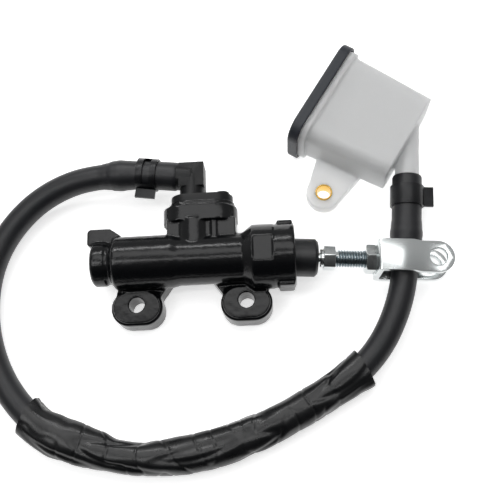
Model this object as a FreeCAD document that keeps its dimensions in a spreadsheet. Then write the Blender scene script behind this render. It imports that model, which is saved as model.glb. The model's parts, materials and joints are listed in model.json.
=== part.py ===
"""Rear brake master cylinder with a remote reservoir, its hose, pushrod and clevis.

Millimetres.  +X runs along the cylinder towards the clevis, +Y towards the reservoir port,
+Z up from the mounting face.  The origin is midway between the two mounting holes, on that face.
"""
import FreeCAD, Part
import Sketcher
import math
import os
import re
from FreeCAD import Placement, Rotation, Vector

# name, value: every size that can be set by itself
SIZES = [
    # mounting ears
    ("hole_spacing", 50.0), ("mount_hole_radius", 3.6), ("ear_height", 13.0), ("pad_radius", 7.3),
    ("pad_half_run", 3.4), ("pad_drop", 1.0), ("ear_rim", 1.1), ("pad_rise", 1.4), ("web_height", 11.0),
    # casting
    ("axis_y", 19.0), ("axis_z", 15.5), ("bore_radius", 7.0), ("barrel_wall", 5.3), ("mid_wall", 4.5),
    ("outlet_x", -44.5), ("outlet_radius", 4.5), ("boss_wall", 5.7), ("boss_length", 6.0),
    ("neck_depth", 0.7), ("neck_length", 1.4), ("barrel_x", -34.4), ("barrel_length", 26.4),
    ("barrel_step", 3.5), ("cone_x", 24.5), ("cone_length", 4.5), ("shoulder_wall", 7.9),
    ("shoulder_length", 9.4), ("shoulder_flat", 1.2), ("mouth_x", 48.0), ("flange_wall", 4.4),
    ("flange_length", 8.8), ("lug_rise", 0.8), ("lug_half_width", 6.0), ("recess_step", 3.2),
    ("recess_depth", 8.2), ("bore_end_x", -29.0), ("outlet_depth", 12.0), ("passage_radius", 1.5),
    ("stop_lug_length", 15.0), ("stop_lug_out", 2.8), ("stop_lug_rise", 6.1), ("stop_lug_half", 3.5),
    # port tower
    ("tower_x", 1.5), ("tower_left", 11.0), ("tower_right", 20.3), ("tower_half", 7.5), ("head_y", 35.5),
    ("head_height", 7.5), ("head_half", 9.5), ("rim_height", 2.5), ("rim_half", 8.0), ("rim_inset", 2.8),
    ("well_radius", 6.0), ("well_floor", 3.0), ("supply_radius", 1.25), ("timing_radius", 0.5),
    ("inlet_boss_radius", 7.6), ("inlet_boss_out", 2.6), ("screw_boss_radius", 3.3),
    ("screw_boss_x", 17.6), ("rib_x", 10.8), ("rib_width", 2.3),
    # piston group
    ("piston_length", 37.3), ("slide_gap", 0.05), ("waist_radius", 4.5), ("nose_length", 2.5),
    ("seal_groove", 3.4), ("seal_groove_back", 10.4), ("land_length", 2.0), ("seal_gap", 0.05),
    ("ball_radius", 5.2), ("ball_inset", 5.9), ("socket_gap", 0.15), ("cup_length", 4.2),
    ("cup_lip", 1.6), ("cup_floor", 1.8), ("seat_radius", 4.2), ("seat_post", 2.6),
    ("spring_wire", 0.6), ("spring_radius", 3.5), ("spring_pitch", 4.0), ("washer_thick", 1.9),
    ("washer_hole", 5.0), ("clip_thick", 1.2), ("clip_bite", 0.8), ("clip_width", 2.5),
    # pushrod group, measured from the centre of the ball
    ("rod_drop", 3.5), ("rod_turn", 3.5), ("neck_radius", 2.6), ("collar_radius", 4.3),
    ("collar_start", 25.4), ("collar_length", 1.5), ("hex_flats", 10.0), ("hex_length", 5.4),
    ("thread_radius", 3.98), ("thread_depth", 0.68), ("thread_pitch", 1.25), ("thread_length", 22.5),
    ("thread_gap", 0.05), ("nut_flats", 12.0), ("nut_length", 4.8), ("nut_start", 45.9),
    ("boot_start", 10.6), ("boot_length", 13.7), ("boot_radius", 8.7), ("boot_wall", 1.3),
    ("boot_gap", 0.1), ("boot_round", 1.3),
    # clevis
    ("strip_thick", 2.5), ("strip_width", 14.6), ("clevis_length", 34.4), ("wide_gap", 7.0),
    ("eye_gap", 5.0), ("joggle_start", 15.8), ("joggle_length", 3.8), ("pin_radius", 4.0),
    ("bend_radius", 2.0),
    # elbow
    ("elbow_gap", 0.2), ("elbow_flange", 3.5), ("elbow_radius", 5.9), ("elbow_bore", 2.5),
    ("arm_radius", 6.3), ("spigot_radius", 3.9), ("barb_rise", 0.6), ("spigot_length", 24.0),
    ("seal_wire", 0.9), ("port_screw_radius", 2.0), ("port_screw_head", 3.3),
    ("port_screw_x", 15.5), ("port_screw_length", 14.0),
    # hose, sleeve and clamps
    ("hose_radius", 6.0), ("hose_bore", 3.7), ("hose_swell", 0.8), ("swell_length", 14.5),
    ("sleeve_half_width", 9.6), ("sleeve_half_height", 7.4), ("sleeve_wall", 0.7),
    ("band_thick", 0.9), ("band_width", 9.4), ("band_tab", 4.2),
    # reservoir, measured along its own axis from the end that carries the spigot
    ("tank_x", 104.0), ("tank_y", 71.3), ("tank_angle", 147.0), ("tank_length", 45.5),
    ("tank_width", 51.0), ("tank_depth", 25.6), ("tank_taper", 5.0), ("tank_wall", 1.8),
    ("tank_round", 6.5), ("rim_band", 4.5), ("rim_out", 1.5), ("cap_wall", 1.4), ("cap_gap", 0.3),
    ("cap_length", 5.2), ("cap_roof", 2.0), ("diaphragm_thick", 1.0), ("plate_thick", 0.8),
    ("bellows_depth", 9.0), ("bellows_inset", 7.5), ("bellows_wall", 1.0), ("cap_screw_radius", 1.5),
    ("cap_screw_head", 2.7), ("cap_screw_length", 12.0), ("cap_screw_inset", 5.2),
    ("screw_post_radius", 3.0), ("screw_post_length", 14.0), ("spigot_base_radius", 5.6), ("spigot_reach", 27.0),
    ("tab_x", 63.5), ("tab_y", 51.5), ("tab_radius", 8.3), ("tab_thick", 6.0),
    ("sleeve_nut_radius", 4.0), ("sleeve_nut_bore", 3.25), ("sleeve_nut_proud", 0.4),
]

# the hose's route, chosen by hand from the elbow to the reservoir spigot
HOSE_ROUTE = [
    (-6.0, 61.0, 15.5), (-40.0, 66.0, 15.0), (-73.5, 57.0, 10.5), (-95.5, 30.5, 7.0),
    (-98.0, -4.5, 6.8), (-84.5, -37.5, 7.0), (-58.0, -60.5, 7.2), (-23.0, -69.5, 7.2),
    (15.0, -64.5, 7.2), (49.5, -49.0, 7.2), (79.0, -31.0, 7.2), (94.8, -4.5, 9.9),
    (99.6, 25.0, 12.6), (102.2, 54.0, 15.5),
]
SLEEVE_FIRST_RUN = 5       # the runs of the route in which the loose sleeve begins and ends
SLEEVE_LAST_RUN = 10
SLEEVE_START_SHARE = 0.42
SLEEVE_END_SHARE = 0.05
ARC_SHARE = 0.45           # an arc takes this share of the shorter of its two runs

DOC = FreeCAD.newDocument("brake_master_cylinder")
SHEET = DOC.addObject("Spreadsheet::Sheet", "sizes")
for row, (alias, value) in enumerate(SIZES, start=1):
    SHEET.set("A%d" % row, alias)
    SHEET.set("B%d" % row, str(value))
    SHEET.setAlias("B%d" % row, alias)
DOC.recompute()
ALIASES = {alias for alias, value in SIZES}
NODES = []


def size(alias):
    """The value now in the sheet."""
    return float(SHEET.get(alias))


def bound(expression):
    """An expression with each size read from the sheet."""
    return re.sub(r"[a-z_]+", lambda word: "sizes." + word.group(0)
                  if word.group(0) in ALIASES else word.group(0), str(expression))


def bind(item, **values):
    for name, expression in values.items():
        item.setExpression(name.replace("__", "."), bound(expression))


def keep(item, node):
    """Give the finished sub-part its node name."""
    item.Label = node
    NODES.append(item)
    return item


# ---- Part Design helpers -------------------------------------------------------------------

def new_body(node, at=("0", "0", "0")):
    body = DOC.addObject("PartDesign::Body", node)
    bind(body, Placement__Base__x=at[0], Placement__Base__y=at[1], Placement__Base__z=at[2])
    return keep(body, node)


def origin_part(body, role):
    return next(part for part in body.Origin.OriginFeatures if part.Role == role)


def outline(body, role, points, lift="0"):
    """A closed outline on an origin plane, each corner held by two bound distances."""
    sketch = body.newObject("Sketcher::SketchObject", "outline")
    sketch.AttachmentSupport = [(origin_part(body, role), "")]
    sketch.MapMode = "FlatFace"
    bind(sketch, AttachmentOffset__Base__z=lift)
    count = len(points)
    rough = [Vector(math.cos(2 * math.pi * i / count), math.sin(2 * math.pi * i / count), 0)
             for i in range(count)]
    for index in range(count):
        sketch.addGeometry(Part.LineSegment(rough[index], rough[(index + 1) % count]))
    for index in range(count):
        following = (index + 1) % count
        sketch.addConstraint(Sketcher.Constraint("Coincident", index, 2, following, 1))
    for index, corner in enumerate(points):
        for kind, distance in zip(("DistanceX", "DistanceY"), corner):
            number = sketch.addConstraint(Sketcher.Constraint(kind, -1, 1, index, 1, 1.0))
            sketch.setExpression("Constraints[%d]" % number, bound(distance))
    sketch.Visibility = False
    return sketch


def turned(body, kind, points, angle=360):
    """A turned shape, or a turned cut, about the body's X axis."""
    feature = body.newObject("PartDesign::" + kind, kind.lower())
    feature.Profile = outline(body, "XY_Plane", points)
    feature.ReferenceAxis = (origin_part(body, "X_Axis"), [""])
    feature.Angle = angle
    return feature


def padded(body, role, points, length, lift="0", both_ways=False):
    pad = body.newObject("PartDesign::Pad", "pad")
    pad.Profile = outline(body, role, points, lift)
    pad.Midplane = both_ways
    bind(pad, Length=length)
    return pad


ALONG = {"X": Rotation(Vector(0, 1, 0), 90), "Y": Rotation(Vector(1, 0, 0), -90), "Z": Rotation()}


def primitive(body, kind, at, axis="Z", **sizes):
    """A box, cylinder, cone or ball added to the body or cut from it."""
    feature = body.newObject("PartDesign::" + kind, kind.lower())
    feature.Placement = Placement(Vector(), ALONG[axis])
    bind(feature, Placement__Base__x=at[0], Placement__Base__y=at[1], Placement__Base__z=at[2], **sizes)
    return feature


def stadium(body, left, right, low, thick, radius, axis, y="0", z="0"):
    """Two round ends and the block between them, thick along the axis."""
    for place in (left, right):
        at = (place, low, z) if axis == "Y" else (place, y, low)
        primitive(body, "AdditiveCylinder", at, axis, Radius=radius, Height=thick)
    block = "(%s) - (%s)" % (right, left)
    if axis == "Y":
        primitive(body, "AdditiveBox", (left, low, "%s - %s" % (z, radius)),
                  Length=block, Width=thick, Height="2 * " + radius)
    else:
        primitive(body, "AdditiveBox", (left, "%s - %s" % (y, radius), low),
                  Length=block, Width="2 * " + radius, Height=thick)


# ---- cylinder ------------------------------------------------------------------------------

ON_AXIS = ("0", "axis_y", "axis_z")


def cylinder_body():
    """The cast body: barrel, ears, stop lug and port tower.  Its own frame lies on the bore axis."""
    body = new_body("cylinder_body", ON_AXIS)
    boss = "outlet_radius + boss_wall"
    barrel = "bore_radius + barrel_wall"
    middle = "bore_radius + mid_wall"
    shoulder = "bore_radius + shoulder_wall"
    flange = "bore_radius + recess_step + flange_wall"
    boss_end = "outlet_x + boss_length"
    turned(body, "Revolution", [
        ("outlet_x", "0"), ("outlet_x", boss + " - 1.2"), ("outlet_x + 1.2", boss), (boss_end, boss),
        (boss_end + " + 1", boss + " - neck_depth"),
        (boss_end + " + 1 + neck_length", boss + " - neck_depth"),
        ("barrel_x", barrel + " - 0.8"), ("barrel_x + 0.8", barrel), ("barrel_x + barrel_length", barrel),
        ("barrel_x + barrel_length + barrel_step", middle), ("cone_x", middle),
        ("cone_x + cone_length", shoulder),
        ("cone_x + cone_length + shoulder_length", shoulder),
        ("mouth_x - flange_length", flange + " - 0.5"), ("mouth_x - flange_length + 0.5", flange),
        ("mouth_x - 0.6", flange), ("mouth_x", flange + " - 0.6"), ("mouth_x", "0")])
    primitive(body, "SubtractiveBox",
              ("cone_x + cone_length", "-20", shoulder + " - shoulder_flat"),
              Length="shoulder_length", Width="40", Height="5")
    primitive(body, "AdditiveBox",
              ("mouth_x - flange_length + 1", "-(%s) - lug_rise" % flange, "-lug_half_width"),
              Length="flange_length - 1.6", Width="2 * (%s + lug_rise)" % flange,
              Height="2 * lug_half_width")
    mounting_ears(body)
    port_tower(body)
    stop_lug(body, boss)
    bore(body)
    return body


def mounting_ears(body):
    floor = "-axis_z"
    line = "-axis_y - pad_drop"
    for sign in ("-", ""):
        centre = "%shole_spacing / 2" % sign
        left, right = centre + " - pad_half_run", centre + " + pad_half_run"
        stadium(body, left, right, floor + " + pad_rise", "ear_height - pad_rise", "pad_radius", "Z", line)
        stadium(body, left, right, floor, "ear_height - pad_rise", "(pad_radius + ear_rim)", "Z", line)
        side = "-1" if sign else "1"
        web = [(10.9, 0), (10.9, 5), (15.5, 11.5), (15.5, 16), (-9, 16), (-9, 10), (-10, 5), (-10, 0)]
        # the web flares towards the middle of the casting
        padded(body, "XY_Plane",
               [("%s - %s * %s" % (centre, side, along), "%s + %s" % (line, up)) for along, up in web],
               "web_height - 1", floor + " + 1")
        primitive(body, "AdditiveBox", (centre + " - 6.5", line + " + 5", floor + " + 2"),
                  Length="13", Width="8", Height="ear_height - 2.5")
        primitive(body, "SubtractiveCylinder", (centre, "-axis_y", floor + " - 1"),
                  Radius="mount_hole_radius", Height="ear_height + 3")


def port_tower(body):
    left, right = "tower_x - tower_left", "tower_x + tower_right"
    primitive(body, "AdditiveBox", (left, "0", "-tower_half"), Length="tower_left + tower_right",
              Width="head_y - axis_y + 1", Height="2 * tower_half")
    low = "head_y - axis_y"
    stadium(body, left + " - 2.5 + head_half", right + " + 0.7 - head_half", low, "head_height",
            "head_half", "Y")
    stadium(body, left + " + rim_half + 0.2", right + " - rim_half - 0.4",
            low + " + head_height - 0.5", "rim_height + 0.5", "rim_half", "Y")
    primitive(body, "AdditiveCylinder", ("tower_x + 0.8", "3", "inlet_boss_out"), "Y",
              Radius="inlet_boss_radius", Height=low + " - 2")
    primitive(body, "AdditiveCylinder", ("screw_boss_x", "8", "inlet_boss_out"), "Y",
              Radius="screw_boss_radius", Height=low + " - 7")
    primitive(body, "AdditiveBox", ("rib_x", "6", "0"), Length="rib_width", Width=low + " - 5",
              Height="tower_half + 1")
    top = low + " + head_height + rim_height"
    well = "bore_radius + well_floor"
    primitive(body, "SubtractiveCylinder", ("tower_x", well, "0"), "Y", Radius="well_radius",
              Height="%s - (%s) + 1" % (top, well))
    primitive(body, "SubtractiveCylinder", ("tower_x + 2", "0", "0"), "Y", Radius="supply_radius",
              Height=well + " + 1")
    primitive(body, "SubtractiveCylinder", ("tower_x - 3.6", "0", "0"), "Y", Radius="timing_radius",
              Height=well + " + 1")
    primitive(body, "SubtractiveCylinder", ("port_screw_x", top + " - port_screw_length", "0"), "Y",
              Radius="port_screw_radius + thread_gap", Height="port_screw_length + 1")


def stop_lug(body, boss):
    """The flat lug above the outlet that a banjo fitting's neck rests against."""
    back = "outlet_x - stop_lug_out"
    low = boss + " - 1.2"
    top = boss + " + stop_lug_rise"
    padded(body, "XY_Plane", [
        (back, low), (back + " + 1", low + " - 0.8"), (back + " + 4", low + " - 1.6"),
        (back + " + stop_lug_length", low + " - 1.6"), (back + " + stop_lug_length + 0.5", top + " - 3.5"),
        (back + " + stop_lug_length - 4.5", top), (back + " + 1.2", top), (back, top + " - 1.2")],
        "2 * stop_lug_half", both_ways=True)


def bore(body):
    """Outlet, passage, cylinder bore, mouth recess and circlip groove as one turned cut."""
    recess = "bore_radius + recess_step"
    groove = "mouth_x - recess_depth + washer_thick + 0.15"
    turned(body, "Groove", [
        ("outlet_x - 1", "0"), ("outlet_x - 1", "outlet_radius"),
        ("outlet_x + outlet_depth", "outlet_radius"), ("outlet_x + outlet_depth + 1.5", "passage_radius"),
        ("bore_end_x", "passage_radius"), ("bore_end_x", "bore_radius"),
        ("mouth_x - recess_depth", "bore_radius"), ("mouth_x - recess_depth", recess),
        (groove, recess), (groove, recess + " + clip_bite"),
        (groove + " + clip_thick + 0.1", recess + " + clip_bite"),
        (groove + " + clip_thick + 0.1", recess), ("mouth_x + 1", recess), ("mouth_x + 1", "0")])


PISTON_BACK = "mouth_x - recess_depth"


def piston():
    """A spool piston: nose, waist, seal groove and a rear land with the socket for the ball."""
    body = new_body("piston", ON_AXIS)
    front = PISTON_BACK + " - piston_length"
    groove = PISTON_BACK + " - seal_groove_back"
    land = "bore_radius - slide_gap"
    turned(body, "Revolution", [
        (front, "0"), (front, land), (front + " + nose_length", land),
        (front + " + nose_length + 1", "waist_radius"),
        (groove + " - seal_groove - land_length - 1", "waist_radius"),
        (groove + " - seal_groove - land_length", land), (groove + " - seal_groove", land),
        (groove + " - seal_groove", "waist_radius"), (groove, "waist_radius"), (groove, land),
        (PISTON_BACK + " - 0.4", land), (PISTON_BACK, land + " - 0.4"),
        (PISTON_BACK, "ball_radius + socket_gap"),
        (PISTON_BACK + " - ball_inset", "ball_radius + socket_gap"), (PISTON_BACK + " - ball_inset", "0")])
    primitive(body, "SubtractiveSphere", (PISTON_BACK + " - ball_inset", "0", "0"),
              Radius="ball_radius + socket_gap")


def primary_cup():
    body = new_body("primary_cup", ON_AXIS)
    back = PISTON_BACK + " - piston_length - 0.05"
    front = back + " - cup_length"
    rim = "bore_radius - slide_gap"
    turned(body, "Revolution", [
        (back, "0"), (back, rim), (front, rim), (front, rim + " - cup_lip"),
        (back + " - cup_floor", rim + " - cup_lip - 0.6"), (back + " - cup_floor", "0")])


def secondary_cup():
    body = new_body("secondary_cup", ON_AXIS)
    back = PISTON_BACK + " - seal_groove_back - seal_gap"
    front = back + " - seal_groove + 2 * seal_gap"
    rim = "bore_radius - slide_gap"
    hub = "waist_radius + seal_gap"
    turned(body, "Revolution", [
        (back, hub), (back, rim), (front, rim), (front, rim + " - 0.7"),
        (front + " + 1.4", rim + " - 1.1"), (front + " + 1.4", hub + " + 0.6"), (front, hub + " + 0.5"),
        (front, hub)])


def spring_seat():
    body = new_body("spring_seat", ON_AXIS)
    back = PISTON_BACK + " - piston_length - 0.1 - cup_floor"
    turned(body, "Revolution", [
        (back, "0"), (back, "seat_radius"), (back + " - 1.4", "seat_radius"),
        (back + " - 1.4", "seat_post"), (back + " - 5", "seat_post - 0.4"), (back + " - 5", "0")])


def return_spring():
    """A coil of round wire between the closed end of the bore and the spring seat."""
    seat_face = size("mouth_x") - size("recess_depth") - size("piston_length") - 1.5 - size("cup_floor")
    wire = size("spring_wire")
    start = size("bore_end_x") + wire + 0.05
    height = seat_face - wire - 0.05 - start
    helix = Part.makeHelix(size("spring_pitch"), height, size("spring_radius"))
    section = Part.Wire(Part.Circle(Vector(size("spring_radius"), 0, 0), Vector(0, 1, 0), wire).toShape())
    coil = Part.Wire(helix.Edges).makePipeShell([section], True, True)
    spring = DOC.addObject("Part::Feature", "return_spring")
    spring.Shape = coil
    spring.Placement = Placement(Vector(start, size("axis_y"), size("axis_z")), ALONG["X"])
    return keep(spring, "return_spring")


def stop_washer():
    body = new_body("stop_washer", ON_AXIS)
    start = PISTON_BACK + " + seal_gap"
    edge = "bore_radius + recess_step - 0.1"
    turned(body, "Revolution", [
        (start, "washer_hole"), (start, edge), (start + " + washer_thick - seal_gap", edge),
        (start + " + washer_thick - seal_gap", "washer_hole + 0.5"),
        (start + " + washer_thick - seal_gap - 0.5", "washer_hole")])


def circlip():
    """A sprung ring in the mouth's groove, open over a tenth of a turn."""
    body = new_body("circlip", ON_AXIS)
    start = PISTON_BACK + " + washer_thick + 0.2"
    edge = "bore_radius + recess_step + clip_bite - 0.1"
    turned(body, "Revolution", [
        (start, edge), (start + " + clip_thick", edge), (start + " + clip_thick", edge + " - clip_width"),
        (start, edge + " - clip_width")], angle=325)


# ---- pushrod group: modelled straight along X from the ball's centre, then tipped with the rod ----

def rod_placement():
    centre = Vector(size("mouth_x") - size("recess_depth") - size("ball_inset"), size("axis_y"),
                    size("axis_z"))
    tip = Rotation(Vector(0, 0, 1), -size("rod_turn")).multiply(Rotation(Vector(0, 1, 0), size("rod_drop")))
    return Placement(centre, tip)


def rod_body(node):
    body = DOC.addObject("PartDesign::Body", node)
    body.Placement = rod_placement()
    return keep(body, node)


def hexagon(flats):
    """Corners of a hexagon, one of them pointing up."""
    across = "(%s / 2)" % flats
    corner = "(%s / sqrt(3))" % flats
    return [("0", corner), ("-" + across, corner + " / 2"), ("-" + across, "-%s / 2" % corner),
            ("0", "-" + corner), (across, "-%s / 2" % corner), (across, corner + " / 2")]


def pushrod():
    """Ball, neck, collar, hexagon and a ringed thread that holds the nut and the clevis."""
    body = rod_body("pushrod")
    hex_start = "collar_start + collar_length"
    thread_start = hex_start + " + hex_length"
    root = "thread_radius - thread_depth"
    profile = [("-ball_radius / 2", "0"), ("-ball_radius / 2", "1"), ("2", "neck_radius"),
               ("collar_start", "neck_radius"), ("collar_start", "collar_radius - 0.4"),
               ("collar_start + 0.4", "collar_radius"), (hex_start + " + 0.5", "collar_radius"),
               (hex_start + " + 0.5", root), (thread_start + " + 0.6", root)]
    rings = int(size("thread_length") / size("thread_pitch")) - 1
    for ring in range(rings):
        place = "%s + 0.6 + %d * thread_pitch" % (thread_start, ring)
        profile += [(place + " + 0.45 * thread_pitch", "thread_radius"),
                    (place + " + 0.6 * thread_pitch", "thread_radius"), (place + " + thread_pitch", root)]
    end = "%s + 0.6 + %d * thread_pitch" % (thread_start, rings)
    profile += [(end + " + 0.4", root + " - 0.4"), (end + " + 0.4", "0")]
    turned(body, "Revolution", profile)
    primitive(body, "AdditiveSphere", ("0", "0", "0"), Radius="ball_radius")
    padded(body, "YZ_Plane", hexagon("hex_flats"), "hex_length", hex_start)


def jam_nut():
    body = rod_body("jam_nut")
    padded(body, "YZ_Plane", hexagon("nut_flats"), "nut_length", "nut_start")
    edge = "nut_flats / sqrt(3)"
    turned(body, "Groove", [
        ("nut_start - 0.1", edge + " + 1"), ("nut_start - 0.1", "nut_flats / 2 - 0.1"),
        ("nut_start + 0.6", edge + " + 0.1"), ("nut_start + nut_length - 0.6", edge + " + 0.1"),
        ("nut_start + nut_length + 0.1", "nut_flats / 2 - 0.1"), ("nut_start + nut_length + 0.1", edge + " + 1")])
    primitive(body, "SubtractiveCylinder", ("nut_start - 1", "0", "0"), "X",
              Radius="thread_radius + thread_gap", Height="nut_length + 2")


def dust_boot():
    body = rod_body("dust_boot")
    end = "boot_start + boot_length"
    inner = "boot_radius - boot_wall"
    turned(body, "Revolution", [
        ("boot_start", inner), ("boot_start", "boot_radius"), (end + " - boot_round", "boot_radius"),
        (end, "boot_radius - boot_round"), (end, "neck_radius + boot_gap"),
        (end + " - boot_wall", "neck_radius + boot_gap"), (end + " - boot_wall", inner + " - boot_round"),
        (end + " - boot_wall - boot_round", inner)])


def clevis():
    """A strip bent to a U, joggled in towards the eye, with round ends and one pin bore."""
    start = "nut_start + nut_length"
    inside = start + " + strip_thick"
    joggle = start + " + joggle_start"
    joggle_end = joggle + " + joggle_length"
    end = start + " + clevis_length"
    wide, eye = "wide_gap + strip_thick", "eye_gap + strip_thick"
    half = [(start, wide + " - bend_radius"), (start + " + 0.3 * bend_radius", wide + " - 0.3 * bend_radius"),
            (start + " + bend_radius", wide), (joggle, wide), (joggle_end, eye), (end, eye),
            (end, "eye_gap"), (joggle_end + " - 0.3", "eye_gap"), (joggle + " - 0.3", "wide_gap"),
            (inside + " + 0.5", "wide_gap"), (inside, "wide_gap - 0.5")]
    body = DOC.addObject("PartDesign::Body", "clevis_strip")
    mirrored = [(along, "-(%s)" % up) for along, up in reversed(half)]
    padded(body, "XZ_Plane", half + mirrored, "strip_width", both_ways=True)
    plan = new_part("Part::Cylinder", (end + " - strip_width / 2", "0", "-20"), Radius="strip_width / 2",
                    Height="40")
    block = new_part("Part::Box", (start + " - 1", "-strip_width / 2", "-20"),
                     Length="clevis_length - strip_width / 2 + 1", Width="strip_width", Height="40")
    rounded = boolean("Part::Common", body, boolean("Part::Fuse", plan, block))
    pin = new_part("Part::Cylinder", (end + " - strip_width / 2 + 0.1", "0", "-20"), Radius="pin_radius",
                   Height="40")
    thread = new_part("Part::Cylinder", (start + " - 1", "0", "0"), "X",
                      Radius="thread_radius + thread_gap", Height="strip_thick + 2")
    whole = boolean("Part::Cut", rounded, boolean("Part::Fuse", pin, thread))
    whole.Placement = rod_placement()
    return keep(whole, "clevis")


# ---- Part helpers --------------------------------------------------------------------------

def new_part(kind, at, axis="Z", **sizes):
    item = DOC.addObject(kind, kind.split("::")[1].lower())
    item.Placement = Placement(Vector(), ALONG[axis])
    bind(item, Placement__Base__x=at[0], Placement__Base__y=at[1], Placement__Base__z=at[2], **sizes)
    return item


def boolean(kind, base, tool):
    item = DOC.addObject(kind, kind.split("::")[1].lower())
    item.Base, item.Tool = base, tool
    return item


def all_of(items):
    item = DOC.addObject("Part::MultiFuse", "fusion")
    item.Shapes = items
    return item


# ---- elbow at the port ---------------------------------------------------------------------

def elbow_fitting():
    """A moulded elbow: plug with an O-ring groove, oval flange, square corner and hose spigot."""
    top = "head_y + head_height + rim_height"
    plug_low = "axis_y + bore_radius + well_floor + 1.5"
    start = Vector(*HOSE_ROUTE[0])
    along = (Vector(*HOSE_ROUTE[1]) - start)
    along.z = 0.0
    along.normalize()
    corner = start - along * ((start.x - size("tower_x")) / along.x)
    corner_y = "%.6f" % corner.y
    solids = [
        new_part("Part::Cylinder", ("tower_x", plug_low, "axis_z"), "Y", Radius="well_radius - elbow_gap",
                 Height="%s - (%s) + 1" % (top, plug_low)),
        new_part("Part::Cylinder", ("tower_x", top, "axis_z"), "Y", Radius="elbow_radius",
                 Height=corner_y + " - (%s)" % top),
        new_part("Part::Box", ("tower_x - elbow_radius", corner_y + " - elbow_radius",
                               "axis_z - elbow_radius + 0.3"),
                 Length="2 * elbow_radius", Width="2 * elbow_radius", Height="2 * elbow_radius - 0.6")]
    left, right = "tower_x - tower_left + rim_half + 0.7", "tower_x + tower_right - rim_half - 0.9"
    for place in (left, right):
        solids.append(new_part("Part::Cylinder", (place, top, "axis_z"), "Y", Radius="rim_half - 0.4",
                               Height="elbow_flange"))
    solids.append(new_part("Part::Box", (left, top, "axis_z - rim_half + 0.4"),
                           Length="(%s) - (%s)" % (right, left), Width="elbow_flange",
                           Height="2 * rim_half - 0.8"))
    turn = Rotation(Vector(0, 0, 1), along)
    reach = (start - corner).Length

    def arm(radius, place, length, kind="Part::Cylinder", second="0"):
        piece = DOC.addObject(kind, "arm")
        if kind == "Part::Cone":
            bind(piece, Radius1=radius, Radius2=second, Height=length)
        else:
            bind(piece, Radius=radius, Height=length)
        piece.Placement = Placement(corner + along * place, turn)
        return piece

    solids.append(arm("arm_radius", 0, str(reach - 0.05)))
    solids.append(arm("spigot_radius - 0.35", reach - 1, "spigot_length + 1"))
    for share in (0.55, 0.86):
        place = reach + share * size("spigot_length")
        solids.append(arm("spigot_radius - 0.35", place, "2.4", "Part::Cone", "spigot_radius - 0.25"))
    bores = all_of([
        new_part("Part::Cylinder", ("tower_x", plug_low + " - 1", "axis_z"), "Y", Radius="elbow_bore",
                 Height="%s - (%s) + 1" % (corner_y, plug_low)),
        arm("elbow_bore", 0, "spigot_length + 20"),
        new_part("Part::Cylinder", ("port_screw_x", top + " - 1", "axis_z"), "Y",
                 Radius="port_screw_radius + elbow_gap", Height="elbow_flange + 2")])
    ring = new_part("Part::Cylinder", ("tower_x", plug_low + " + 3", "axis_z"), "Y",
                    Radius="well_radius + 1", Height="2 * seal_wire + 0.3")
    core = new_part("Part::Cylinder", ("tower_x", plug_low + " + 2", "axis_z"), "Y",
                    Radius="well_radius - 2 * seal_wire - 0.1", Height="2 * seal_wire + 3")
    groove = boolean("Part::Cut", ring, core)
    keep(boolean("Part::Cut", boolean("Part::Cut", all_of(solids), bores), groove), "elbow_fitting")
    seal = new_part("Part::Torus", ("tower_x", plug_low + " + 3.15 + seal_wire", "axis_z"), "Y",
                    Radius1="well_radius - seal_wire - 0.04", Radius2="seal_wire")
    keep(seal, "elbow_seal")


def port_screw():
    top = "head_y + head_height + rim_height + elbow_flange"
    shank = new_part("Part::Cylinder", ("port_screw_x", top + " - port_screw_length + 1", "axis_z"), "Y",
                     Radius="port_screw_radius", Height="port_screw_length - 0.9")
    head = new_part("Part::Cylinder", ("port_screw_x", top + " + 0.02", "axis_z"), "Y",
                    Radius="port_screw_head", Height="2.2")
    slots = all_of([
        new_part("Part::Box", ("port_screw_x - 1.9", top + " + 1.2", "axis_z - 0.4"),
                 Length="3.8", Width="2", Height="0.8"),
        new_part("Part::Box", ("port_screw_x - 0.4", top + " + 1.2", "axis_z - 1.9"),
                 Length="0.8", Width="2", Height="3.8")])
    keep(boolean("Part::Cut", boolean("Part::Fuse", head, shank), slots), "port_screw")


# ---- hose, sleeve and clamps ---------------------------------------------------------------

def rounded_route(points):
    """Straight runs joined by tangent arcs.  Gives the runs, the arcs and the arcs' radii."""
    runs, arcs, radii = [], [], []
    before = points[0]
    for index in range(1, len(points) - 1):
        corner = points[index]
        back = points[index - 1] - corner
        ahead = points[index + 1] - corner
        reach = ARC_SHARE * min(back.Length, ahead.Length)
        turn = math.pi - back.getAngle(ahead)
        radius = reach / math.tan(turn / 2)
        back.normalize()
        ahead.normalize()
        enter, leave = corner + back * reach, corner + ahead * reach
        inward = back + ahead
        inward.normalize()
        middle = corner + inward * (radius / math.cos(turn / 2) - radius)
        runs.append((before, enter))
        arcs.append((enter, middle, leave))
        radii.append(radius)
        before = leave
    runs.append((before, points[-1]))
    return runs, arcs, radii


def path_between(runs, arcs, first, last, start, end):
    """The path from a place on one run to a place on a later run."""
    edges = []
    for index in range(first, last + 1):
        low = start if index == first else runs[index][0]
        high = end if index == last else runs[index][1]
        edges.append(Part.LineSegment(low, high).toShape())
        if index < last:
            edges.append(Part.Arc(*arcs[index]).toShape())
    return Part.Wire(edges)


def along_run(run, share):
    return run[0] + (run[1] - run[0]) * share


def swept(path, section):
    return path.makePipeShell([section], True, False)


def hose_route():
    return rounded_route([Vector(*point) for point in HOSE_ROUTE])


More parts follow.
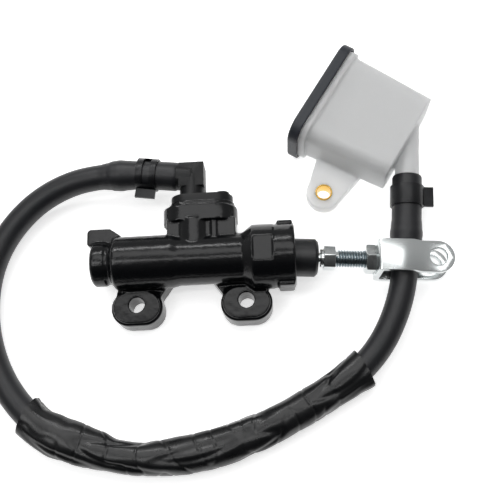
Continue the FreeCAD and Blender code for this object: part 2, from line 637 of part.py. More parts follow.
def reservoir_hose():
    runs, arcs, radii = hose_route()
    path = path_between(runs, arcs, 0, len(runs) - 1, runs[0][0], runs[-1][1])
    forward = path.Edges[0].tangentAt(path.Edges[0].FirstParameter)

    def tube(radius):
        return swept(path, Part.Wire(Part.Circle(runs[0][0], forward, radius).toShape()))

    outer = tube(size("hose_radius"))
    worked_out = math.pi * size("hose_radius") ** 2 * path.Length
    print("hose: length %.1f, volume %.0f, section times length %.0f"
          % (path.Length, outer.Volume, worked_out))
    print("hose arc radii: " + ", ".join("%.1f" % radius for radius in radii))
    swell = size("hose_radius") + size("hose_swell")
    for run, end, way in ((runs[0], 0, 1), (runs[-1], 1, -1)):
        direction = (run[1] - run[0]).normalize() * way
        outer = outer.fuse(Part.makeCylinder(swell, size("swell_length"), run[end], direction))
    hose = DOC.addObject("Part::Feature", "reservoir_hose")
    hose.Shape = outer.cut(tube(size("hose_bore")))
    keep(hose, "reservoir_hose")


def hose_sleeve():
    """A loose tube, slightly flattened, over the lowest stretch of the hose."""
    runs, arcs, radii = hose_route()
    start = along_run(runs[SLEEVE_FIRST_RUN], SLEEVE_START_SHARE)
    end = along_run(runs[SLEEVE_LAST_RUN], SLEEVE_END_SHARE)
    level = size("sleeve_half_height")
    flat_runs = [tuple(Vector(p.x, p.y, level) for p in run) for run in runs]
    flat_arcs = [tuple(Vector(p.x, p.y, level) for p in arc) for arc in arcs]
    start.z = end.z = level
    path = path_between(flat_runs, flat_arcs, SLEEVE_FIRST_RUN, SLEEVE_LAST_RUN, start, end)
    forward = path.Edges[0].tangentAt(path.Edges[0].FirstParameter)
    across = forward.cross(Vector(0, 0, 1)).normalize()

    def oval(inset):
        wide, high = size("sleeve_half_width") - inset, level - inset
        curve = Part.Ellipse(start + across * wide, start + Vector(0, 0, high), start)
        return Part.Wire(curve.toShape())

    sleeve = DOC.addObject("Part::Feature", "hose_sleeve")
    sleeve.Shape = swept(path, oval(0.0)).cut(swept(path, oval(size("sleeve_wall"))))
    keep(sleeve, "hose_sleeve")


def hose_clamp(node, run, end, way, reach, tab_side):
    """A spring band round the swelled hose with a pinch tab."""
    direction = (run[1] - run[0]).normalize() * way
    start = run[end] + direction * reach
    inner = size("hose_radius") + size("hose_swell") + 0.05
    outer = inner + size("band_thick")
    width = size("band_width")
    band = Part.makeCylinder(outer, width, start, direction)
    up = Vector(0, 0, 1)
    side = direction.cross(up).normalize() * tab_side
    thick = 1.6
    tab = Part.makeBox(width, outer + size("band_tab"), thick)
    tab.Placement = Placement(start - up * (thick / 2), Rotation(direction, side, up, "ZXY"))
    slot = Part.makeBox(width * 0.6, 1.5, thick + 2)
    slot.Placement = Placement(start + direction * (0.2 * width) + side * (outer + size("band_tab") - 2.6)
                               - up * (thick / 2 + 1), Rotation(direction, side, up, "ZXY"))
    clamp = DOC.addObject("Part::Feature", node)
    clamp.Shape = band.fuse(tab).cut(Part.makeCylinder(inner, width + 2, start - direction, direction)).cut(slot)
    keep(clamp, node)


# ---- reservoir -----------------------------------------------------------------------------

def tank_placement():
    """Local Z along the reservoir's axis to the cap, local X across it, local Y straight down."""
    axis = Vector(math.cos(math.radians(size("tank_angle"))), math.sin(math.radians(size("tank_angle"))), 0)
    across = Vector(axis.y, -axis.x, 0)
    turn = Rotation(across, Vector(0, 0, -1), axis, "ZXY")
    return Placement(Vector(size("tank_x"), size("tank_y"), size("axis_z")), turn)


def rounded_rectangle(width, depth, radius, level):
    """A flat outline centred on the local Z axis."""
    block = Part.makeBox(width, depth, 1.0, Vector(-width / 2, -depth / 2, level))
    upright = [edge for edge in block.Edges
               if abs(edge.Vertexes[0].Point.z - edge.Vertexes[1].Point.z) > 0.5]
    block = block.makeFillet(radius, upright)
    return min(block.Faces, key=lambda face: face.CenterOfMass.z).OuterWire


def rounded_block(width, depth, radius, low, high):
    face = Part.Face(rounded_rectangle(width, depth, radius, low))
    return face.extrude(Vector(0, 0, high - low))


def screw_places():
    """Where the two cap screws stand across the reservoir."""
    reach = size("tank_width") / 2 - size("cap_screw_inset")
    return (-reach, reach)


def tank_shape(inset, low, high):
    """The tapered outer or inner form between two levels."""
    width, depth, taper = size("tank_width"), size("tank_depth"), size("tank_taper")
    radius = size("tank_round") - inset
    bottom = rounded_rectangle(width - taper - 2 * inset, depth - 0.4 * taper - 2 * inset, radius, low)
    top = rounded_rectangle(width - 2 * inset, depth - 2 * inset, radius, high)
    return Part.makeLoft([bottom, top], True, True)


def rim_sizes():
    return (size("tank_width") + 2 * size("rim_out"), size("tank_depth") + 2 * size("rim_out") * 0.6,
            size("tank_round") + 1.0)


def reservoir_shell():
    """The tapered tank with its rim and the two posts that take the cap's screws."""
    length, wall = size("tank_length"), size("tank_wall")
    width, depth, radius = rim_sizes()
    shell = tank_shape(0.0, 0.0, length)
    shell = shell.fuse(rounded_block(width, depth, radius, length - size("rim_band"), length))
    shell = shell.cut(tank_shape(wall, wall, length + 1))
    for place in screw_places():
        post = Part.makeCylinder(size("screw_post_radius"), size("screw_post_length"),
                                 Vector(place, 0, length - size("screw_post_length")))
        arm_end = math.copysign(size("tank_width") / 2 - 0.5 * wall, place)
        low = min(place, arm_end)
        web = Part.makeBox(abs(arm_end - place), 2.4, size("screw_post_length"),
                           Vector(low, -1.2, length - size("screw_post_length")))
        hole = Part.makeCylinder(size("cap_screw_radius") + 0.05, size("screw_post_length") + 2,
                                 Vector(place, 0, length - size("screw_post_length") + 1.5))
        shell = shell.fuse(post).fuse(web).cut(hole)
    return shell


def beyond_face(side):
    """The room outside the cavity's upper or lower face, taken from just inside that face."""
    floor, top = size("tank_wall"), size("tank_length") + 1
    face = size("tank_depth") / 2 - size("tank_wall") - 0.3
    corners = [Vector(-60, side * (face - 0.2 * size("tank_taper")), floor), Vector(-60, side * face, top),
               Vector(-60, side * 60, top), Vector(-60, side * 60, floor)]
    return Part.Face(Part.makePolygon(corners + corners[:1])).extrude(Vector(120, 0, 0))


def reservoir_body():
    """The reservoir as four nodes that meet face to face: closed end, walls and tab."""
    shell = reservoir_shell()
    below, above = beyond_face(-1), beyond_face(1)
    end_block = Part.makeBox(120, 120, size("tank_wall"), Vector(-60, -60, 0))
    ring = shell.cut(below).cut(above)
    shapes = {
        "reservoir_body": ring.common(end_block),
        "reservoir_broad_walls": Part.Compound(shell.common(below).Solids + shell.common(above).Solids),
        "reservoir_side_walls": Part.Compound(ring.cut(end_block).Solids),
    }
    for shape in shapes.values():
        shape.Placement = tank_placement()
    shapes["reservoir_body"] = spigot_added(shapes["reservoir_body"])
    outside = tank_shape(0.0, 0.0, size("tank_length"))
    outside.Placement = tank_placement()
    shapes["reservoir_tab"] = mounting_tab().cut(outside)
    for node, shape in shapes.items():
        item = DOC.addObject("Part::Feature", node)
        item.Shape = shape
        keep(item, node)


def tank_cavity():
    cavity = tank_shape(size("tank_wall"), size("tank_wall"), size("tank_length") + 1)
    cavity.Placement = tank_placement()
    return cavity


def spigot_added(shell):
    """The outlet spigot at the low end of the reservoir, in line with the hose's last run."""
    hose_end, before = Vector(*HOSE_ROUTE[-1]), Vector(*HOSE_ROUTE[-2])
    out = before - hose_end
    out.normalize()
    reach = size("spigot_reach")
    inside = hose_end - out * reach
    base = Part.makeCylinder(size("spigot_base_radius"), reach - 0.05, inside, out)
    spigot = Part.makeCylinder(size("spigot_radius") - 0.35, size("spigot_length") * 0.65 + 1,
                               hose_end - out, out)
    outside = base.fuse(spigot).cut(tank_cavity())
    bore = Part.makeCylinder(size("elbow_bore"), 60, inside, out)
    return shell.fuse(outside).cut(bore)


def tab_level():
    """The underside of the reservoir, where the tab lies."""
    return size("axis_z") - size("tank_depth") / 2 + 0.2 * size("tank_taper")


def mounting_tab():
    centre = Vector(size("tab_x"), size("tab_y"), tab_level())
    axis = tank_placement().Rotation.multVec(Vector(0, 0, 1))
    inward = tank_placement().Rotation.multVec(Vector(1, 0, 0))
    radius, thick = size("tab_radius"), size("tab_thick")
    disc = Part.makeCylinder(radius, thick, centre)
    corners = [centre + axis * radius, centre + axis * (radius + 4) + inward * 17,
               centre - axis * (radius + 3) + inward * 17, centre - axis * radius]
    plate = Part.Face(Part.makePolygon(corners + corners[:1])).extrude(Vector(0, 0, thick))
    hole = Part.makeCylinder(size("sleeve_nut_radius") + 0.02, thick + 2, centre - Vector(0, 0, 1))
    return disc.fuse(plate).cut(hole)


def mount_sleeve():
    """The brass sleeve pressed into the reservoir's tab."""
    low = tab_level() - size("sleeve_nut_proud")
    tall = size("tab_thick") + 2 * size("sleeve_nut_proud")
    outer = new_part("Part::Cylinder", ("tab_x", "tab_y", "%.6f" % low), Radius="sleeve_nut_radius",
                     Height="%.6f" % tall)
    inner = new_part("Part::Cylinder", ("tab_x", "tab_y", "%.6f" % (low - 1)), Radius="sleeve_nut_bore",
                     Height="%.6f" % (tall + 2))
    keep(boolean("Part::Cut", outer, inner), "mount_sleeve")


def on_tank(node, shape):
    item = DOC.addObject("Part::Feature", node)
    item.Shape = shape
    item.Placement = tank_placement()
    return keep(item, node)


def drilled(shape, radius, low, high):
    for place in screw_places():
        shape = shape.cut(Part.makeCylinder(radius, high - low, Vector(place, 0, low)))
    return shape


def reservoir_lid():
    """Diaphragm, its plate, the cap and its screws, stacked on the reservoir's rim."""
    width, depth, radius = rim_sizes()
    seat = size("tank_length") + 0.02
    plate_low = seat + size("diaphragm_thick") + 0.02
    roof = plate_low + size("plate_thick") + 0.02
    top = roof + size("cap_roof")
    skirt_low = top - size("cap_length")
    hole = size("cap_screw_radius") + 0.2

    inset = size("bellows_inset")
    cup_width, cup_depth = size("tank_width") - 2 * inset - 4, size("tank_depth") - 1.2 * inset
    sheet = rounded_block(width, depth, radius, seat, seat + size("diaphragm_thick"))
    cup = rounded_block(cup_width, cup_depth, 4.0, seat - size("bellows_depth"), seat + 0.5)
    wall = size("bellows_wall")
    hollow = rounded_block(cup_width - 2 * wall, cup_depth - 2 * wall, 3.0,
                           seat - size("bellows_depth") + wall, seat + 3)
    on_tank("diaphragm", drilled(sheet.fuse(cup).cut(hollow), hole, seat - 1, seat + 3))

    plate = rounded_block(width, depth, radius, plate_low, plate_low + size("plate_thick"))
    window = rounded_block(cup_width - 4 * wall, cup_depth - 4 * wall, 2.5, plate_low - 1, plate_low + 3)
    on_tank("diaphragm_plate", drilled(plate.cut(window), hole, plate_low - 1, plate_low + 3))

    gap, skirt = size("cap_gap"), size("cap_wall")
    outer = rounded_block(width + 2 * (gap + skirt), depth + 2 * (gap + skirt), radius + gap + skirt,
                          skirt_low, top)
    upper_edges = [edge for edge in outer.Edges
                   if all(abs(corner.Point.z - top) < 0.01 for corner in edge.Vertexes)]
    outer = outer.makeFillet(0.9, upper_edges)
    pocket = rounded_block(width + 2 * gap, depth + 2 * gap, radius + gap, skirt_low - 1, roof)
    on_tank("reservoir_cap", drilled(outer.cut(pocket), hole, roof - 1, top + 1))

    screws = []
    for place in screw_places():
        foot = top - size("cap_screw_length")
        shank = Part.makeCylinder(size("cap_screw_radius"), size("cap_screw_length") + 0.5,
                                  Vector(place, 0, foot))
        head = Part.makeCylinder(size("cap_screw_head"), 1.8, Vector(place, 0, top + 0.02))
        head = head.makeFillet(0.6, [head.Edges[0]])
        cross = Part.makeBox(3.2, 0.7, 2, Vector(place - 1.6, -0.35, top + 0.9))
        cross = cross.fuse(Part.makeBox(0.7, 3.2, 2, Vector(place - 0.35, -1.6, top + 0.9)))
        screws.append(head.fuse(shank).cut(cross))
    on_tank("cap_screws", Part.makeCompound(screws))


# ---- build, check and write ----------------------------------------------------------------

def build():
    cylinder_body()
    piston()
    primary_cup()
    secondary_cup()
    spring_seat()
    return_spring()
    stop_washer()
    circlip()
    pushrod()
    jam_nut()
    dust_boot()
    clevis()
    elbow_fitting()
    port_screw()
    reservoir_hose()
    hose_sleeve()
    runs = hose_route()[0]
    hose_clamp("hose_clamp_elbow", runs[0], 0, 1, 9.0, 1)
    hose_clamp("hose_clamp_reservoir", runs[-1], 1, -1, 4.5, 1)
    reservoir_body()
    mount_sleeve()
    reservoir_lid()
    DOC.recompute()


def check_and_write():
    os.makedirs("parts", exist_ok=True)
    for item in DOC.Objects:
        if {"Invalid", "Error"} & set(item.State):
            raise RuntimeError("%s failed: %s" % (item.Label, item.State))
    for item in NODES:
        if item.Shape.isNull() or not item.Shape.isValid():
            raise RuntimeError(item.Label + " has no valid shape")
    for item in NODES:
        item.Shape.exportStep("parts/%s.step" % item.Label)
        box = item.Shape.BoundBox
        print("%-22s solids %d volume %9.1f  x %.1f..%.1f  y %.1f..%.1f  z %.1f..%.1f"
              % (item.Label, len(item.Shape.Solids), item.Shape.Volume, box.XMin, box.XMax,
                 box.YMin, box.YMax, box.ZMin, box.ZMax))


build()
check_and_write()
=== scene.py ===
"""Rear brake master cylinder with its hose and remote reservoir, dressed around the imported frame.

Row frame in metres: +X along the cylinder to the clevis, +Y to the reservoir port, +Z up.
Sizes given to the property groups and in the tables below are in millimetres.
"""
import json
import math

import bmesh
import bpy
from mathutils import Matrix, Vector, noise


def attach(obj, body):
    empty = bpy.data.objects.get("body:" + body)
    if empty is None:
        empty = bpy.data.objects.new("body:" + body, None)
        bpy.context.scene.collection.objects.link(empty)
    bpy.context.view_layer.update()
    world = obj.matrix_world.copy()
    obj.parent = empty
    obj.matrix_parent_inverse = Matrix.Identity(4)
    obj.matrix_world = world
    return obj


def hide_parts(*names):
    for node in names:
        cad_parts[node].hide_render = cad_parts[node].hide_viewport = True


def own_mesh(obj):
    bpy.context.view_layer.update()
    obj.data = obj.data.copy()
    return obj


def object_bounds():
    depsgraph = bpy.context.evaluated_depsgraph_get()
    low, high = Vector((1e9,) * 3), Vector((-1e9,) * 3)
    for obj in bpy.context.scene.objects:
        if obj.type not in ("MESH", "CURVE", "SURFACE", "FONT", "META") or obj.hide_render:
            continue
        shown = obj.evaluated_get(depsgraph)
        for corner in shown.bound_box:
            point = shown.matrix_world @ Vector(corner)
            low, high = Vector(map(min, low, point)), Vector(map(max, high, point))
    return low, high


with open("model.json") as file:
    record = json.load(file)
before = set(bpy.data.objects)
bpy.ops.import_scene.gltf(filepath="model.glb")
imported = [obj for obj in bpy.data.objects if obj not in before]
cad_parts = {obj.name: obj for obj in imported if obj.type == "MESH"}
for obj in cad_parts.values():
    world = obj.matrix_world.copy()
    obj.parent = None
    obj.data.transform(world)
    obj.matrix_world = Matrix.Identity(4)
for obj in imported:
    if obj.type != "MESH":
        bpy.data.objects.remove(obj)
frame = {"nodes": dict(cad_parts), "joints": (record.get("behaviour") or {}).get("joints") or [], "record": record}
CAD_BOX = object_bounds()

bl_info = {
    "name": "Rear brake master cylinder",
    "version": (1, 0, 0),
    "blender": (4, 5, 0),
    "location": "3D View > Sidebar > Brake",
    "description": "Builds a rear brake master cylinder with a hose and remote reservoir",
    "category": "Object",
}

MM = 0.001
CENTRE = (CAD_BOX[0] + CAD_BOX[1]) / 2
JOINTS = {joint["name"]: joint for joint in frame["joints"]}

# the hose's control points, from the elbow's arm round to the reservoir's spigot
HOSE_ROUTE = [
    (-6.0, 61.0, 15.5), (-40.0, 66.0, 15.0), (-73.5, 57.0, 10.5), (-95.5, 30.5, 7.0),
    (-98.0, -4.5, 6.8), (-84.5, -37.5, 7.0), (-58.0, -60.5, 7.2), (-23.0, -69.5, 7.2),
    (15.0, -64.5, 7.2), (49.5, -49.0, 7.2), (79.0, -31.0, 7.2), (94.8, -4.5, 9.9),
    (99.6, 25.0, 12.6), (102.2, 54.0, 15.5),
]
# the loose sleeve: place along the hose, half width to the inside and to the outside of the bend
SLEEVE_WIDTHS = [
    (184, 8.6, 9.4), (190, 8.3, 9.4), (200, 9.9, 9.0), (210, 10.6, 8.1), (220, 10.2, 7.3),
    (230, 8.1, 6.9), (240, 7.5, 7.1), (250, 8.6, 7.3), (260, 9.1, 7.7), (270, 9.2, 7.8),
    (280, 9.2, 7.7), (290, 9.0, 7.5), (300, 8.2, 7.4), (310, 7.9, 7.4), (320, 8.1, 7.4),
    (330, 8.3, 7.6), (340, 8.1, 8.1), (348, 7.9, 9.6),
]
# how the hose swells over a barb: place from its end, radius
SWELL = [(-0.6, 4.2), (-0.6, 6.4), (0.2, 6.8), (19.5, 6.8), (23.5, 7.1), (27.0, 7.45), (30.0, 7.2),
         (33.0, 6.5), (36.5, 6.03), (38.5, 5.8)]
SWELL_RINGS, RING_POINTS = 44, 56

# the sleeve's rings, its section's height, how near the floor it lies and how its ends are cut
SLEEVE_ROWS, SLEEVE_AROUND = 420, 80
SLEEVE_MIDDLE, SLEEVE_HALF_HEIGHT, SLEEVE_SAG, SLEEVE_FLOOR = 7.4, 7.35, 0.5, 0.15
SLEEVE_SKEW, SKEW_POWER = 2.2, 6

# the pushrod, measured from the centre of its ball: places along it and radii
BALL_RADIUS = 5.2
SHANK = [(25.4, 2.6), (25.4, 3.9), (25.8, 4.3), (26.9, 4.3), (27.4, 3.9), (27.4, 3.35),
         (54.0, 3.35), (54.8, 2.6), (54.8, 0.0)]
HEX_FLATS, HEX_LENGTH, HEX_MIDDLE, HEX_EDGE = 10.0, 5.4, 29.6, 0.4
THREAD_START, THREAD_TURNS, THREAD_SKIN = 32.4, 17, 0.3
BOOT_GRAIN, BOOT_SQUASHED = 0.3, 0.3

# the elbow clamp's window: how far along the hose and above it, then its three sizes
WINDOW_ALONG, WINDOW_ABOVE, WINDOW_SIZES = 13.7, 8.0, (3.6, 13.0, 11.0)

CAMERA_LENS, CAMERA_SENSOR = 52.56, 36.0
CAMERA_FROM_CENTRE = (32.15, -105.18, 316.57)
CAMERA_RIGHT, CAMERA_UP = (0.99799, -0.03642, -0.05194), (0.05095, 0.94797, 0.31424)
# place from the object's middle, width and height, power in watts: two strips draw the lines along
# the barrel, a wide panel fills the flat plated faces and a square box fills the outlet side
SOFT_BOXES = [((-120, 430, 400), (420, 60), 0.9), ((0, -70, 580), (420, 50), 0.35),
              ((40, 180, 540), (620, 230), 0.95), ((-300, -60, 560), (240, 240), 0.6)]


# ---- sizes and colours a user would change --------------------------------------------------

def length(name, text, value):
    return bpy.props.FloatProperty(name=name, description=text, default=value * MM,
                                   subtype="DISTANCE", unit="LENGTH")


def colour(name, text, value):
    return bpy.props.FloatVectorProperty(name=name, description=text, default=value, size=3,
                                         subtype="COLOR", min=0.0, max=1.0)


def linear(code):
    """An sRGB hex colour as linear red, green and blue."""
    parts = [int(code[i:i + 2], 16) / 255 for i in (1, 3, 5)]
    return tuple(p / 12.92 if p <= 0.04045 else ((p + 0.055) / 1.055) ** 2.4 for p in parts)


class BrakeSizes(bpy.types.PropertyGroup):
    hose_diameter: length("Hose diameter", "Outside diameter of the rubber hose", 12.0)
    cast_grain: length("Casting grain", "Voxel that the casting's skin is drawn with", 0.5)
    cast_lumps: length("Casting lumps", "Height of the uneven cast skin", 0.1)
    edge_break: length("Edge break", "Broken edge on pressed and machined parts", 0.35)
    thread_pitch: length("Thread pitch", "Pitch of the pushrod's thread", 1.25)
    thread_radius: length("Thread radius", "Crest radius of the pushrod's thread", 3.98)
    thread_depth: length("Thread depth", "Depth of the thread below its crest", 0.68)
    sleeve_wall: length("Sleeve wall", "Thickness of the loose vinyl sleeve", 0.7)


class BrakeColours(bpy.types.PropertyGroup):
    paint: colour("Paint", "Gloss black paint on the casting", linear("#060709"))
    rubber: colour("Rubber", "Hose rubber", linear("#121317"))
    vinyl: colour("Vinyl", "Loose sleeve", linear("#08090b"))
    zinc: colour("Zinc", "Bright zinc plate", linear("#cfd4d6"))
    tank: colour("Reservoir", "Milky reservoir plastic", linear("#f6f8f9"))
    cap: colour("Cap", "Textured cap plastic", linear("#20242b"))


# ---- small helpers --------------------------------------------------------------------------

def sizes():
    return bpy.context.scene.brake_sizes


def colours():
    return bpy.context.scene.brake_colours


def take(obj):
    """Deselect everything and make this the one selected, active object."""
    if bpy.context.object and bpy.context.object.mode != "OBJECT":
        bpy.ops.object.mode_set(mode="OBJECT")
    bpy.ops.object.select_all(action="DESELECT")
    obj.select_set(True)
    bpy.context.view_layer.objects.active = obj
    return obj


def finished(obj, kind, **settings):
    """Add a modifier and apply it."""
    take(obj)
    modifier = obj.modifiers.new(kind.title(), kind)
    for name, value in settings.items():
        setattr(modifier, name, value)
    bpy.ops.object.modifier_apply(modifier=modifier.name)
    return obj


def smooth(obj, degrees=35):
    take(obj)
    bpy.ops.object.shade_smooth_by_angle(angle=math.radians(degrees))
    return obj


def edited(obj, *steps):
    """Run edit-mode operators, each given with its settings, on the whole of a mesh."""
    take(obj)
    bpy.ops.object.mode_set(mode="EDIT")
    bpy.ops.mesh.select_all(action="SELECT")
    for operator, settings in steps:
        operator(**settings)
    bpy.ops.object.mode_set(mode="OBJECT")
    return obj


def outward(obj):
    """Merge doubles, then turn every face outwards."""
    return edited(obj, (bpy.ops.mesh.remove_doubles, {"threshold": 1e-6}),
                  (bpy.ops.mesh.normals_make_consistent, {"inside": False}))


def join(parts):
    """Several pieces as one, which keeps the first one's name."""
    take(parts[0])
    for part in parts[1:]:
        part.select_set(True)
    if len(parts) > 1:
        bpy.ops.object.join()
    return parts[0]


def copy_of(nodes, name):
    """The meshes of one or more CAD nodes as a new piece, with their loose triangles merged."""
    copies = []
    for node in ((nodes,) if isinstance(nodes, str) else nodes):
        copies.append(bpy.data.objects.new(name, frame["nodes"][node].data.copy()))
        bpy.context.scene.collection.objects.link(copies[-1])
    obj = join(copies)
    bpy.ops.mesh.customdata_custom_splitnormals_clear()
    return edited(obj, (bpy.ops.mesh.remove_doubles, {"threshold": 2e-6}))


def moulded(nodes, name, voxel, rounds):
    """A copy with the soft edges that a mould leaves."""
    obj = copy_of(nodes, name)
    finished(obj, "REMESH", mode="VOXEL", voxel_size=voxel)
    finished(obj, "SMOOTH", factor=0.5, iterations=rounds)
    return smooth(obj, 60)


def pressed(node, name):
    """A copy with its sharp edges broken, as on pressed or turned metal."""
    obj = edited(copy_of(node, name),
                 (bpy.ops.mesh.dissolve_limited, {"angle_limit": math.radians(1.0)}))
    finished(obj, "BEVEL", width=sizes().edge_break, segments=3, limit_method="ANGLE",
             angle_limit=math.radians(40), use_clamp_overlap=True)
    return smooth(obj, 30)


def drawn_line(name, points):
    """A chain of edges in the XZ plane, drawn by extruding one vertex from place to place."""
    if bpy.context.object and bpy.context.object.mode != "OBJECT":
        bpy.ops.object.mode_set(mode="OBJECT")
    bpy.ops.object.select_all(action="DESELECT")
    bpy.ops.mesh.primitive_plane_add(size=MM, location=(0, 0, 0))
    obj = bpy.context.object
    obj.name = name
    bpy.ops.object.mode_set(mode="EDIT")
    bpy.ops.mesh.select_all(action="SELECT")
    bpy.ops.mesh.merge(type="CENTER")
    steps = [Vector((along * MM, 0, out * MM)) for along, out in points]
    bpy.ops.transform.translate(value=steps[0])
    for before, after in zip(steps, steps[1:]):
        bpy.ops.mesh.extrude_region_move(TRANSFORM_OT_translate={"value": after - before})
    bpy.ops.object.mode_set(mode="OBJECT")
    return obj


def turned(name, points, around=64):
    """A closed shape turned about the X axis from a line of (along, radius)."""
    obj = drawn_line(name, points)
    finished(obj, "SCREW", axis="X", angle=2 * math.pi, steps=around, render_steps=around,
             screw_offset=0.0, use_merge_vertices=True, merge_threshold=1e-6)
    return outward(obj)


def piece(obj, body, slot, finish, *nodes):
    """Give a finished piece its material and its body, and hide the CAD nodes that it replaces."""
    obj.data.materials.clear()
    obj.data.materials.append(finish)
    if nodes:
        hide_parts(*nodes)
    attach(obj, body)
    return obj


def rod_place():
    """From the pushrod's own frame, X along the rod and Z along the clevis pin, to the row frame."""
    along = Vector(JOINTS["jam_nut_spin"]["axis"])
    pin = Vector(JOINTS["pushrod_swing"]["axis"])
    place = Matrix((along, pin.cross(along), pin)).transposed().to_4x4()
    place.translation = Vector(JOINTS["pushrod_swing"]["pos_m"])
    return place


# ---- the hose's line ------------------------------------------------------------------------

def hose_line(steps=40):
    """Points, in metres, on the quadratic spline that the control points give."""
    route = [Vector(p) * MM for p in HOSE_ROUTE]
    last = len(route) - 3
    points = []
    for i in range(last + 1):
        first = route[0] if i == 0 else (route[i] + route[i + 1]) / 2
        final = route[-1] if i == last else (route[i + 1] + route[i + 2]) / 2
        for step in range(steps + (i == last)):
            t = step / steps
            points.append(first * (1 - t) ** 2 + route[i + 1] * 2 * t * (1 - t) + final * t * t)
    return points


def stations(points):
    """The distance along the line at each point."""
    gone = [0.0]
    for a, b in zip(points, points[1:]):
        gone.append(gone[-1] + (b - a).length)
    return gone


def place_on(points, gone, distance):
    """The point and direction at a distance along the line, run on straight past its ends."""
    if distance <= 0:
        way = (points[1] - points[0]).normalized()
        return points[0] + way * distance, way
    for i in range(1, len(points)):
        if gone[i] >= distance or i == len(points) - 1:
            way = (points[i] - points[i - 1]).normalized()
            return points[i - 1] + way * (distance - gone[i - 1]), way


def between(table, x):
    """Each column of a table at x, eased from row to row."""
    if x <= table[0][0]:
        return table[0][1:]
    for low, high in zip(table, table[1:]):
        if x <= high[0]:
            t = (x - low[0]) / (high[0] - low[0])
            t = t * t * (3 - 2 * t)
            return tuple(a + (b - a) * t for a, b in zip(low[1:], high[1:]))
    return table[-1][1:]


def skin(name, rings, closed_ends=True):
    """A tube from rings of points."""
    mesh = bmesh.new()
    rows = [[mesh.verts.new(p) for p in ring] for ring in rings]
    for a, b in zip(rows, rows[1:]):
        for k in range(len(a)):
            mesh.faces.new((a[k - 1], a[k], b[k], b[k - 1]))
    if closed_ends:
        mesh.faces.new(rows[0])
        mesh.faces.new(list(reversed(rows[-1])))
    data = bpy.data.meshes.new(name)
    mesh.to_mesh(data)
    mesh.free()
    obj = bpy.data.objects.new(name, data)
    bpy.context.scene.collection.objects.link(obj)
    return outward(obj)


# ---- finishes -------------------------------------------------------------------------------

def add(tree, kind, inputs=None, **settings):
    """One node with its settings, its input values and its links."""
    made = tree.nodes.new(kind)
    for name, value in settings.items():
        setattr(made, name, value)
    for name, value in (inputs or {}).items():
        if isinstance(value, bpy.types.NodeSocket):
            tree.links.new(value, made.inputs[name])
        else:
            made.inputs[name].default_value = value
    return made


def per_mm(millimetres):
    """A noise scale whose grain is this many millimetres across."""
    return 1000.0 / millimetres


def surface(name, base, roughness, grains, bump, spread=0.06, tint=None, **constants):
    """A shader with grain: grains are (size in mm, share), bump is the height in mm."""
    material = bpy.data.materials.new(name)
    material.use_nodes = True
    tree = material.node_tree
    tree.nodes.clear()
    at = add(tree, "ShaderNodeTexCoord").outputs["Object"]
    total = None
    for grain, share in grains:
        pattern = add(tree, "ShaderNodeTexNoise",
                      {"Vector": at, "Scale": per_mm(grain), "Detail": 3.0, "Roughness": 0.55})
        part = add(tree, "ShaderNodeMath", {0: pattern.outputs["Fac"], 1: share},
                   operation="MULTIPLY").outputs[0]
        total = part if total is None else add(
            tree, "ShaderNodeMath", {0: total, 1: part}, operation="ADD").outputs[0]
    ragged = add(tree, "ShaderNodeMapRange", {
        "Value": total, "From Min": 0.3, "From Max": 0.7,
        "To Min": max(0.02, roughness - spread), "To Max": roughness + spread}).outputs["Result"]
    other = tint or tuple(min(1.0, c * 1.25 + 0.002) for c in base)
    mixed = add(tree, "ShaderNodeMix", {"Factor": total, 6: (*base, 1), 7: (*other, 1)},
                data_type="RGBA").outputs[2]
    height = add(tree, "ShaderNodeBump", {"Height": total, "Strength": 0.6, "Distance": bump * MM})
    shader = add(tree, "ShaderNodeBsdfPrincipled", {
        "Base Color": mixed, "Roughness": ragged, "Normal": height.outputs["Normal"]})
    for socket, value in constants.items():
        shader.inputs[socket.replace("_", " ")].default_value = value
    add(tree, "ShaderNodeOutputMaterial", {"Surface": shader.outputs["BSDF"]})
    return material


